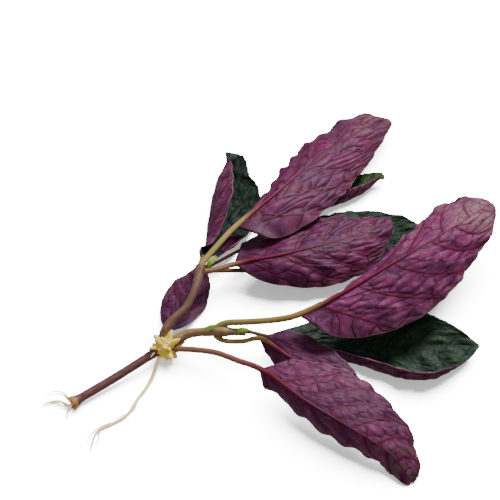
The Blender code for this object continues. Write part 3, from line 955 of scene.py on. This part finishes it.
# %% Green leaves
GREEN_LEAF = Leaf(
    "green_leaf",
    foot=(26.5, 2.3, 11.0),
    stalk=[(28.8, 2.8, 10.6)],
    rib=[
        (36, 3.5, 7),
        (48, 4, 2.5),
        (58, 4, 0.8),
        (70, 3.8, 0.4),
        (84, 3.4, 0.8),
        (98, 3, 2.5),
        (110, 1, 5),
    ],
    stalk_radius=0.7,
    left=Half(16, 0.58, (2, 10), (6, 6), blunt=0.65, point=0.4),
    right=Half(24, 0.7, (-2, 0), (180, 110), (1.3, 4.0), blunt=0.6, point=0.4),
    veins=7,
    ripple=0.4,
    pucker=1.8,
    cell=(4.0, 2.4),
    under_up=False,
    skins=(DUSKY, GREEN, DARK_STALK),
    slot="green_leaf",
)
DARK_LEAF = Leaf(
    "dark_leaf",
    foot=(11.8, 28.5, 12.6),
    stalk=[(13.8, 29.8, 11.6), (24, 33.5, 7.5)],
    rib=[
        (33, 37, 4),
        (45, 43.5, 1.2),
        (60, 50.2, 0.5),
        (74, 54.6, 0.5),
        (86, 57.3, 1.5),
        (95, 58.8, 3.5),
    ],
    stalk_radius=0.8,
    left=Half(16, 0.55, (2, 2), (5, 5), blunt=0.65),
    right=Half(14, 0.55, (0, 0), (5, 5), blunt=0.65),
    veins=6,
    ripple=0.4,
    pucker=1.6,
    cell=(4.0, 2.4),
    under_up=False,
    skins=(DUSKY, GREEN, DARK_STALK),
    slot="green_leaf",
)
for leaf in (GREEN_LEAF, DARK_LEAF):
    dress_leaf(leaf)

# %% [markdown]
# Five leaves are smaller or mostly hidden: one under the front leaf, a folded one at the back with one
# half rolled over, a small folded one, a dark one at the rooted joint, and the leaf of the young shoot.
# They take the same function as the large ones, because they are seen whole from the back and the sides.

# %% Lower and smaller leaves
UNDER_LEAF = Leaf(
    "under_leaf",
    foot=(17.5, 2.0, 9.6),
    stalk=[(20.5, 0.2, 8.8), (27, -0.4, 9.2)],
    rib=[(33.7, 0.4, 9.5), (42.6, -7.5, 10), (56.7, -17.5, 9.5), (66, -23.5, 8), (73, -27, 6)],
    stalk_radius=0.9,
    left=Half(11.5, 0.35, (5, -8), (0, 0), blunt=0.65),
    right=Half(8, 0.45, (-60, -40), (-20, -20), blunt=0.65),
    veins=5,
    ripple=0.4,
    pucker=0.9,
    cell=(4.0, 1.6),
    skins=(DUSKY, GREEN, OLIVE_STALK),
)
BACK_LEAF = Leaf(
    "back_leaf",
    foot=(11.5, 28.6, 13.4),
    stalk=[(11.5, 30.4, 13.1)],
    rib=[(12, 38, 9.5), (12.8, 48.3, 3.5), (13.8, 62, 0.8), (16, 78, 0.4), (19.5, 90, 2), (25.6, 98, 5)],
    stalk_radius=0.8,
    left=Half(18, 0.55, (60, 40), (105, 105), (0.5, 0.5), blunt=0.8),
    right=Half(19, 0.55, (3, 5), (8, 8)),
    veins=6,
    ripple=0.4,
    pucker=1.0,
    waffle=0.5,
    cell=(4.4, 2.2),
    under_up=False,
    skins=(PINK, DARK_GREEN, DARK_STALK),
)
SMALL_LEAF = Leaf(
    "small_leaf",
    foot=(11.6, 28.8, 12.8),
    stalk=[(12.4, 30.5, 11.3), (28, 46.5, 6), (44, 61.5, 2.5)],
    rib=[(56, 70, 1.5), (64.8, 75.5, 0.8), (73.8, 81, 1.5), (82.8, 87.5, 4)],
    stalk_radius=0.6,
    left=Half(9, 0.42, (10, 10), (10, 10), blunt=0.7),
    right=Half(9.5, 0.45, (5, 5), (150, 110), EVEN_TURN, blunt=0.7),
    veins=5,
    ripple=0.3,
    pucker=0.5,
    cell=(3.4, 1.6),
    under_up=False,
    skins=(PINK, FRESH, DARK_STALK),
    slot="green_leaf",
)
BASE_LEAF = Leaf(
    "base_leaf",
    foot=(0, 1.0, 5.2),
    stalk=[(-0.5, 4.3, 5.2)],
    rib=[(0.5, 8, 4.5), (3.2, 15, 3.5), (6, 22.4, 2.8), (9, 31.8, 2.2), (11.5, 41, 1)],
    stalk_radius=0.7,
    left=Half(9, 0.5, (-5, -5), (-10, -10), blunt=0.7),
    right=Half(7.5, 0.5, (-5, -5), (-10, -10), blunt=0.7),
    veins=5,
    ripple=0.3,
    pucker=0.5,
    waffle=0.5,
    cell=(3.6, 1.6),
    skins=(DUSKY, GREEN, RED_STALK),
)
YOUNG_LEAF = Leaf(
    "young_leaf",
    foot=(12.3, 29.0, 13.6),
    stalk=[(13.9, 30.6, 13.4)],
    rib=[(18.8, 35.6, 14.2), (21.5, 39, 14), (24.2, 42, 13.8), (27, 45, 13.4)],
    stalk_radius=0.55,
    left=Half(3, 0.45, (30, 30), (20, 20), blunt=0.8),
    right=Half(3, 0.45, (30, 30), (20, 20), blunt=0.8),
    veins=4,
    ripple=0.1,
    pucker=0.2,
    cell=(1.8, 1.2),
    under_up=False,
    skins=(DUSKY, DUSKY, DARK_STALK),
)
for leaf in (UNDER_LEAF, BACK_LEAF, SMALL_LEAF, BASE_LEAF, YOUNG_LEAF):
    dress_leaf(leaf)

# %% [markdown]
# Two parts bristle with short pointed pieces: the torn end of the stem and the burst of young roots. Hair
# or particles could scatter them, but they are lost when the piece is exported. So one spike is modelled as
# a closed cone a unit long, and each copy has its own mesh, stretched and bent into place.

# %% One spike for many
def above_table(points, height):
    """The points, with those that are lower than this height raised to it."""
    return np.maximum(points, [-np.inf, -np.inf, height])


def one_spike(skin):
    """A pointed tube one unit long, and the places of its points on it."""
    upright = Spine([(0, 0, 0), (0, 0.001, 0.5), (0, 0.002, 1)])
    spike = rolled_tube("spike", upright, lambda share: (1.04 - share**1.6) ** 0.75, 9, 9)
    spike.data.materials.append(skin)
    return spike, points_of(spike) / MM - JOINT


def spike_copy(spike, shape, foot, tip, bend, wide):
    """A copy of the spike with its own mesh, bent and stretched from foot to tip."""
    copy = spike.copy()
    copy.data = spike.data.copy()
    bpy.context.scene.collection.objects.link(copy)
    along = tip - foot
    side = np.cross(along, [0.3, 0.5, 0.8])
    side /= np.linalg.norm(side)
    other = np.cross(along, side) / np.linalg.norm(along)
    share = shape[:, 2:3]
    bent = foot + along * share + bend * np.sin(math.pi * share / 2) ** 2
    points = bent + (side * shape[:, 0:1] + other * shape[:, 1:2] * 0.6) * wide
    put_points(copy, above_table(points, 0.05))
    return copy


# %% [markdown]
# Stems are soft and round, with a few shallow ribs. The cut stem is dark red-brown, and the two younger
# stems are olive above and browner below. Small pale pores are scattered over all three. The cut end could
# be a flat cap with a rough colour, but its collar of golden fibres stands out against the white table, so
# it is made of real splayed spikes.

# %% Stems
STRAW = (170, 146, 112)
PORE = (196, 176, 150)
BARK = (112, 66, 34)
GOLD = (196, 146, 84)


def stem_skin(name, top, under, shade, cut=False):
    """The colours of a stem's upper side, its lower side and its streaks, and whether its end is cut."""
    finish = Finish(name, Coat_Weight=0.05, Coat_Roughness=0.3, Specular_IOR_Level=0.2)
    around, along = finish.pair("leaf")
    streaks = finish.noise(finish.stretched(around, along, 7, 9), 1.5, 5, 0.65)
    place = finish.place()
    clouds = finish.noise(place, 200, 3)
    pores = finish.node("ShaderNodeTexVoronoi", inputs={"Vector": place, "Scale": 420})
    skin = finish.blend(under, top, finish.ramp(abs(around) + (clouds - 0.5) * 0.5, 0.35, 0.75))
    skin = finish.blend(skin, shade, finish.ramp(streaks, 0.46, 0.68) * 0.65)
    skin = finish.blend(skin, STRAW, finish.ramp(streaks, 0.3, 0.42, 1.0, 0.0) * 0.35)
    skin = finish.blend(skin, PORE, finish.ramp(pores, 0.05, 0.1, 1.0, 0.0) * 0.3)
    if cut:
        torn = finish.ramp(along + (streaks - 0.5) * 0.05, 0.035, 0.055, 1.0, 0.0)
        golden = finish.blend(BARK, GOLD, streaks)
        skin = finish.blend(skin, golden, torn)
    return finish.done(skin, 0.34 + clouds * 0.2, streaks + pores * 0.3, 0.0002)


def fibre_skin():
    finish = Finish("torn fibres", Specular_IOR_Level=0.2)
    around, along = finish.pair("leaf")
    streaks = finish.noise(finish.stretched(around, along, 4, 2), 2.0, 3)
    skin = finish.blend((120, 70, 32), (206, 158, 90), finish.ramp(streaks, 0.35, 0.65))
    return finish.done(skin, 0.6, streaks, 0.0001)


RED_SKIN = stem_skin("red stem", (100, 66, 64), (112, 62, 62), (62, 30, 36), cut=True)
OLIVE_SKIN = stem_skin("olive stem", (142, 116, 80), (112, 76, 62), (92, 66, 50))
BROWN_SKIN = stem_skin("brown stem", (106, 76, 62), (92, 56, 52), (58, 36, 34))


def dress_stem(node, points, radii, skin, sides=28, ribs=5, rib_depth=0.03, step=0.4, extras=()):
    """A ribbed tube through the points, joined with the extra pieces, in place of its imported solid."""
    spine = Spine(points)
    rings = round(spine.length / step)
    piece = rolled_tube(node + "_skin", spine, steps_of(radii), rings, sides, ribs, rib_depth)
    piece.data.materials.append(skin)
    stands_for(join([*extras, piece], node + "_skin"), node)
    print(node, round(spine.length, 1), "mm long")


FIBRES = 22


def torn_end(points, radius):
    """Short flat fibres around the cut end of a stem, splayed and bent in different ways."""
    draws = np.random.default_rng(5)
    fibre, shape = one_spike(fibre_skin())
    spine = Spine(points)
    along, right, up = spine.frame(0.0)
    pieces = []
    for turn in np.linspace(0, 2 * math.pi, FIBRES, endpoint=False) + draws.normal(0, 0.1, FIBRES):
        outward = right * math.cos(turn) + up * math.sin(turn)
        foot = spine.at(0.03) + outward * radius * draws.uniform(0.6, 0.85)
        tip = spine.at(0.0) - along * draws.uniform(0.2, 1.1) + outward * radius * draws.uniform(0.85, 1.15)
        tip[2] = max(tip[2], 0.3)
        bend = draws.normal(0, 0.15, 3)
        pieces.append(spike_copy(fibre, shape, foot, tip, bend, draws.uniform(0.3, 0.6)))
    bpy.data.objects.remove(fibre)
    return pieces


LOWER_STEM, RIGHT_STEM, UPPER_STEM, JOINT_STEM = 1.55, 1.75, 1.3, 1.95
CUT_RADIUS = 2.25
lower = [(-30.5, -21.3, CUT_RADIUS + 0.1), (-15.7, -10.7, 3.3), (-3.6, -2.4, 5.3), (-0.8, -0.6, 5.5)]
lower_radii = (CUT_RADIUS, *(LOWER_STEM,) * 8, 1.7, 1.8)
dress_stem("lower_stem", lower, lower_radii, RED_SKIN, extras=torn_end(lower, CUT_RADIUS))
right = [(1.0, 0.6, 6.0), (3.6, 2.0, 6.6), (8.3, 3.9, 8), (15, 3.3, 10), (19.2, 2.6, 11), (28.2, 2.3, 11)]
right_radii = (JOINT_STEM, JOINT_STEM, RIGHT_STEM, 1.55, RIGHT_STEM, JOINT_STEM, UPPER_STEM, 1.35)
dress_stem("right_stem", right, right_radii, OLIVE_SKIN)
upper = [
    (-0.1, 0.8, 6.8),
    (-0.6, 3.4, 8.7),
    (2.3, 8.2, 10.2),
    (7, 13.5, 11),
    (10.1, 20.5, 13),
    (11.8, 29.5, 14),
]
upper_radii = (1.5, 1.5, UPPER_STEM, UPPER_STEM, UPPER_STEM, 1.5, JOINT_STEM)
dress_stem("upper_stem", upper, upper_radii, BROWN_SKIN)

# %% [markdown]
# Where the stems meet, the joint has burst into short new roots. They are stubby and waxy, yellow at the
# foot and peach at the tip. A ball with a spiky bump would have a smooth outline. So the spike of the torn
# end is made again in this finish and copied in many lengths over a swollen core, leaving out the ways
# along which stems and stalks go.

# %% Burst of roots
WARM_GLOW = (1.0, 0.72, 0.4, 1)


def root_skin(name, foot, tip, spots, glow=0.0):
    """The colours of a root's foot, tip and spots, and the strength of a painted glow that stands in for
    light coming through it.
    """
    finish = Finish(name, Specular_IOR_Level=0.2, Emission_Color=WARM_GLOW, Emission_Strength=glow)
    _, along = finish.pair("leaf")
    clouds = finish.noise(finish.place(), 480, 3)
    skin = finish.blend(foot, tip, finish.ramp(along + (clouds - 0.5) * 0.4, 0.45, 0.95))
    skin = finish.blend(skin, spots, finish.ramp(clouds, 0.5, 0.72) * 0.6)
    return finish.done(skin, 0.5, clouds, 0.0001)


BURST_SKIN = root_skin("root burst", (222, 200, 76), (250, 214, 116), (240, 176, 112))
# The pale roots glow faintly: painted light that stands in for light coming through them.
PALE_SKIN = root_skin("pale root", (255, 222, 150), (255, 214, 136), (240, 186, 108), glow=0.3)
LEAVING = np.array([
    (-3.6, -2.4, -0.3),
    (3.6, 2, 1),
    (-0.6, 3.4, 3.1),
    (3.9, -1.4, 0.8),
    (-0.5, 4.3, -0.4),
    (-2.4, -3.6, -3),
])
JOINT_RADIUS = 3.7
CLEAR_ANGLE = 0.42
SPIKES = 60
SPIKE_REACHES = [1.15, 1.3, 1.45, 1.75]
JOINT_MIDDLE = np.array([0, 0, JOINT_HEIGHT])


def spread_directions(count):
    """Directions spread evenly over a ball, along a spiral."""
    number = np.arange(count) + 0.5
    height = 1 - 2 * number / count
    turn = number * math.pi * (1 + 5**0.5)
    wide = np.sqrt(1 - height**2)
    return np.stack([wide * np.cos(turn), wide * np.sin(turn), height], 1)


def burst_core():
    """The swollen joint under the roots: a ball with shallow lumps."""
    bpy.ops.object.select_all(action="DESELECT")
    bpy.ops.mesh.primitive_ico_sphere_add(subdivisions=5, radius=JOINT_RADIUS)
    core = bpy.context.object
    ball = points_of(core)
    lumps = 0.07 * np.sin(ball @ [3.1, 1.9, 0.7]) + 0.07 * np.sin(ball @ [-1.7, 3.3, 2.6])
    put_points(core, ball * (1 + lumps)[:, None] + JOINT_MIDDLE)
    points, _ = corners(core)
    corner_map(core, "leaf", np.zeros(len(points)), np.zeros(len(points)))
    bpy.ops.object.shade_smooth()
    core.data.materials.append(BURST_SKIN)
    return core


def root_burst():
    """The short roots all round the joint, in many lengths and thicknesses."""
    draws = np.random.default_rng(11)
    spike, shape = one_spike(BURST_SKIN)
    ways = LEAVING / np.linalg.norm(LEAVING, axis=1, keepdims=True)
    pieces = []
    for way in spread_directions(SPIKES):
        if np.arccos(np.clip(ways @ way, -1, 1)).min() < CLEAR_ANGLE:
            continue
        foot = JOINT_MIDDLE + way * JOINT_RADIUS * 0.55
        reach = draws.choice(SPIKE_REACHES) * draws.uniform(0.9, 1.1)
        tip = JOINT_MIDDLE + way * JOINT_RADIUS * reach
        tip[2] = max(tip[2], 0.5)
        bend = draws.normal(0, 0.7, 3) * [1, 1, 0.4]
        pieces.append(spike_copy(spike, shape, foot, tip, bend, draws.uniform(1.0, 2.4)))
    bpy.data.objects.remove(spike)
    print("root burst:", len(pieces), "spikes")
    return pieces


def threads(paths, thickness):
    """Fine hair roots along the given lines."""
    pieces = []
    for path in paths:
        spine = Spine(above_table(path, thickness * 1.1))
        hair = rolled_tube("hair", spine, lambda share: thickness * (1 - 0.7 * share), 24, 6)
        hair.data.materials.append(PALE_SKIN)
        pieces.append(hair)
    return pieces


joint_hairs = [
    [(-3.2, 0.6, 6.4), (-5.4, 1.4, 6.2), (-6.9, 1.2, 5.0)],
    [(-3.0, 1.6, 7.4), (-4.6, 3.0, 7.8), (-6.2, 3.4, 7.0)],
    [(-3.4, -0.4, 5.0), (-5.6, -0.2, 4.2), (-7.2, 0.4, 3.6)],
    [(-2.8, -2.6, 6.6), (-4.2, -4.2, 6.4), (-5.0, -5.0, 5.2)],
    [(0.4, -3.4, 6.2), (0.8, -5.2, 5.4), (0.2, -6.2, 4.0)],
]
burst = join([*root_burst(), *threads(joint_hairs, 0.26), burst_core()], "root_cluster_skin")
stands_for(burst, "root_cluster")

# %% [markdown]
# A long pale root hangs from the joint and trails off, and a finer one curls at the cut end. A curve with
# a bevel would be as even as a wire. These are rolled tubes whose thickness wavers, as that of roots grown
# in water does, with a few finer threads beside them.

# %% Roots
def dress_root(node, points, radii, side_threads, thickness):
    spine = Spine(points)
    wavering = steps_of(radii)

    def radius(share):
        return wavering(share) * (1 + 0.12 * crooked(share * spine.length * 0.9, 3))

    root = rolled_tube(node + "_skin", spine, radius, round(spine.length / 0.35), 12)
    root.data.materials.append(PALE_SKIN)
    piece = join([*threads(side_threads, thickness), root], node + "_skin")
    stands_for(piece, node)
    print(node, round(spine.length, 1), "mm long")


long_root = [
    (-1.2, -1.8, 4.2),
    (-2.4, -3.6, 2.6),
    (-4.9, -11.5, 0.7),
    (-8.9, -18.8, 0.5),
    (-11.9, -24.9, 0.5),
    (-16.6, -28.5, 0.5),
    (-21.4, -31.7, 0.5),
    (-23.1, -38.6, 0.4),
]
long_threads = [
    [(-2.2, -3.0, 3.4), (-3.4, -7.0, 2.0), (-6.6, -14.0, 0.6), (-9.6, -19.0, 0.4)],
    [(-8.6, -18.0, 0.5), (-9.8, -22.6, 0.4), (-13.6, -25.2, 0.3), (-18.0, -28.2, 0.3)],
    [(-15.4, -27.8, 0.4), (-19.2, -28.9, 0.3), (-22.4, -31.4, 0.3), (-24.6, -35.0, 0.2)],
    [(-20.6, -31.0, 0.4), (-20.8, -34.4, 0.3), (-21.4, -37.0, 0.2)],
]
dress_root("long_root", long_root, (0.6, 0.6, 0.55, 0.48, 0.42, 0.24), long_threads, 0.32)
thin_root = [
    (-30.8, -21.2, 1.4),
    (-32.4, -21.6, 1.2),
    (-35, -19.5, 0.7),
    (-38, -19.5, 0.5),
    (-41, -20.5, 0.4),
]
thin_threads = [
    [(-31.2, -21.0, 2.2), (-33.2, -18.6, 2.4), (-36.1, -16.9, 1.6), (-40.0, -17.6, 0.6)],
    [(-31.2, -20.6, 2.6), (-33.8, -17.6, 3.0), (-37.4, -16.4, 2.0), (-41.2, -17.2, 0.8)],
    [(-31.6, -21.6, 1.6), (-34.2, -20.2, 1.2), (-37.2, -19.9, 0.6), (-41.6, -21.8, 0.3)],
    [(-31.6, -22.0, 1.2), (-34.6, -21.4, 0.8), (-37.6, -21.6, 0.4)],
    [(-31.4, -22.4, 1.2), (-32.2, -24.4, 0.4), (-31.6, -26.4, 0.3)],
]
dress_root("thin_root", thin_root, (0.36, 0.34, 0.3, 0.2), thin_threads, 0.32)

# %% [markdown]
# Bright green buds sit in the angles between stem and stalk. They are too small for separate scales, so
# each is a stem's tube again, short and pointed, with fewer sides and deeper ridges.

# %% Buds
def bud_skin():
    finish = Finish("green bud", Coat_Weight=0.1, Coat_Roughness=0.3, Specular_IOR_Level=0.4)
    around, along = finish.pair("leaf")
    streaks = finish.noise(finish.stretched(around, along, 4, 2), 2.0, 3)
    skin = finish.blend((122, 158, 44), (172, 200, 84), finish.ramp(streaks, 0.4, 0.7))
    skin = finish.blend(skin, (104, 100, 50), finish.ramp(along, 0.6, 1.0) * 0.5)
    return finish.done(skin, 0.4, streaks, 0.0002)


BUD_SKIN = bud_skin()
BUD_RADII = (0.7, 0.95, 0.8, 0.2)
for node, start, end in (
    ("side_bud", (15.5, 2.4, 13.2), (18.5, 2.5, 14.5)),
    ("right_bud", (26.4, 1.6, 13.1), (29.6, 1.0, 13.7)),
    ("upper_bud", (15.1, 30.7, 14.8), (17.9, 33.1, 15.7)),
):
    seat = tuple(a * 1.25 - b * 0.25 - drop for a, b, drop in zip(start, end, (0, 0, 0.9)))
    middle = tuple((a + b) / 2 for a, b in zip(start, end))
    line = [seat, start, middle, end]
    dress_stem(node, line, BUD_RADII, BUD_SKIN, sides=16, ribs=4, rib_depth=0.12, step=0.2)

# %% [markdown]
# The cutting lies on plain white, lit softly from above and behind, so that pale shadows fall towards
# the viewer. A white table in a bright studio burns out while dark leaves on it still look right. Here
# the table gets a strong lamp of its own: light linking lets that lamp shine on nothing else, yet the
# leaves still cast their shadows in it.

# %% Table and light
FLOOR_SIZE = 4.0
FLOOR_DROP = 0.2 * MM
FLOOR_GLOW = 0.41
SKY_STRENGTH = 0.56

bpy.ops.object.select_all(action="DESELECT")
bpy.ops.mesh.primitive_plane_add(size=FLOOR_SIZE, location=(0, 0, -FLOOR_DROP))
floor = bpy.context.object
floor.name = "floor"
floor_finish = Finish("pale table", Emission_Color=(1, 1, 1, 1), Emission_Strength=FLOOR_GLOW)
floor_clouds = floor_finish.noise(floor_finish.place(), 30, 2)
floor_color = floor_finish.blend((246, 246, 248), (250, 250, 251), floor_clouds)
floor.data.materials.append(floor_finish.done(floor_color, 0.8))
floor.visible_diffuse = False
floor.visible_glossy = False
floor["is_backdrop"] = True

world = bpy.data.worlds.new("sky")
world.use_nodes = True
world.node_tree.nodes["Background"].inputs["Color"].default_value = (0.97, 0.98, 1.0, 1)
world.node_tree.nodes["Background"].inputs["Strength"].default_value = SKY_STRENGTH
bpy.context.scene.world = world


def soft_light(name, place, size, power):
    """A round lamp that looks at the middle of the table."""
    light = bpy.data.lights.new(name, "AREA")
    light.shape = "DISK"
    light.size = size
    light.energy = power
    lamp = bpy.data.objects.new(name, light)
    lamp.location = place
    lamp.rotation_euler = (-Vector(place)).to_track_quat("-Z", "Y").to_euler()
    bpy.context.scene.collection.objects.link(lamp)
    return lamp


window = soft_light("window", (0.28, 0.42, 0.55), size=0.3, power=11)
table_lamp = soft_light("table lamp", (0.15, 0.4, 0.9), size=1.1, power=300)
table = bpy.data.collections.new("table")
table.objects.link(floor)
table_lamp.light_linking.receiver_collection = table
print("lamps:", window.name, window.data.energy, "and", table_lamp.name, table_lamp.data.energy, "watts")

# %% [markdown]
# The script closes by printing two boxes: that of the solids and that of the dressed cutting.

# %% Finish
visual_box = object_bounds()
boxes = {"cad": [list(corner) for corner in cad_box], "visual": [list(corner) for corner in visual_box]}
for name, box in boxes.items():
    print(name, [[round(value / MM, 2) for value in corner] for corner in box])
